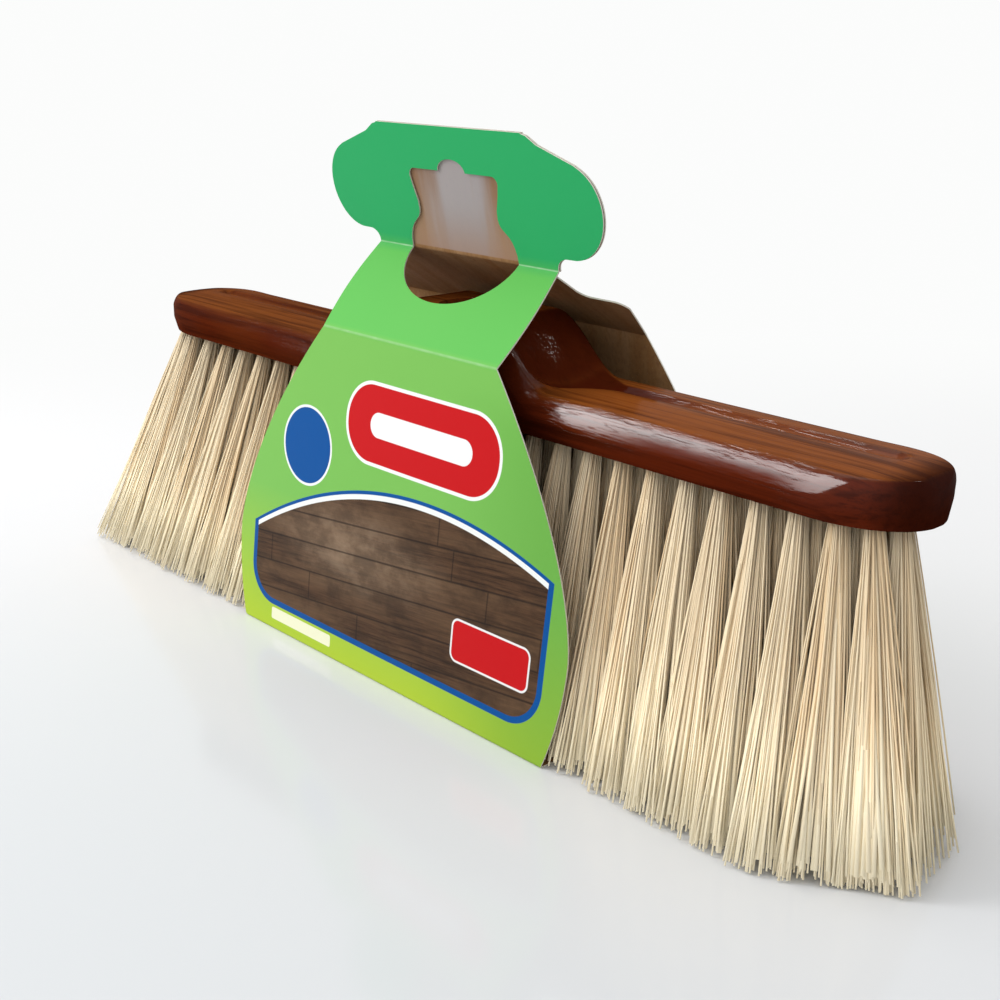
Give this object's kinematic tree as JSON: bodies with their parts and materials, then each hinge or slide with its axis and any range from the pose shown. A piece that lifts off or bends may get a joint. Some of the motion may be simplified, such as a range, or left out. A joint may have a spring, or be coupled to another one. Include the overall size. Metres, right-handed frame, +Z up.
{
  "type": "broom head",
  "caption": "Varnished wooden broom head with flared cream bristles and a handle socket, in a folded printed card sleeve with a fold-down hang tab.",
  "frame": {"origin": "centre of the overall box at the plane the sleeve's base stands on, below the middle of the head", "axes": "+X along the head, -Y the sleeve's printed front, +Z up from the bristle tips to the hang tab"},
  "size_m": [0.38, 0.0888, 0.1836],
  "materials": {
    "varnished_wood": "high-gloss dark red-brown varnish",
    "cream_bristle": "satin cream synthetic filament",
    "printed_card": "satin green print outside, bare brown board inside",
    "plain_card": "matt bare brown board"
  },
  "bodies": {
    "broom_head": {"wooden_block": "varnished_wood", "tuft_column_01": "cream_bristle", "tuft_column_02": "cream_bristle", "tuft_column_03": "cream_bristle", "tuft_column_04": "cream_bristle", "tuft_column_05": "cream_bristle", "tuft_column_06": "cream_bristle", "tuft_column_07": "cream_bristle", "tuft_column_08": "cream_bristle", "tuft_column_09": "cream_bristle", "tuft_column_10": "cream_bristle", "tuft_column_11": "cream_bristle", "tuft_column_12": "cream_bristle", "tuft_column_13": "cream_bristle", "tuft_column_14": "cream_bristle", "tuft_column_15": "cream_bristle", "tuft_column_16": "cream_bristle", "tuft_column_17": "cream_bristle", "tuft_column_18": "cream_bristle", "tuft_column_19": "cream_bristle", "tuft_column_20": "cream_bristle", "tuft_column_21": "cream_bristle", "tuft_column_22": "cream_bristle", "tuft_column_23": "cream_bristle", "tuft_column_24": "cream_bristle", "tuft_column_25": "cream_bristle", "tuft_column_26": "cream_bristle", "tuft_column_27": "cream_bristle", "tuft_column_28": "cream_bristle"},
    "sleeve": {"sleeve_base": "printed_card", "sleeve_front_panel": "printed_card", "sleeve_rear_panel": "printed_card", "sleeve_front_shoulder": "printed_card", "sleeve_rear_shoulder": "printed_card"},
    "hang_tab": {"hang_tab_front_ply": "printed_card", "hang_tab_rear_ply": "plain_card"}
  },
  "joints": [
    {"name": "sleeve_slide", "type": "slide", "parent": "broom_head", "child": "sleeve", "axis": [1, 0, 0], "range_m": [-0.28, 0.28]},
    {"name": "tab_fold", "type": "hinge", "parent": "sleeve", "child": "hang_tab", "pos_m": [0, -0.005, 0.143], "axis": [1, 0, 0], "range_deg": [-75, 65]}
  ]
}
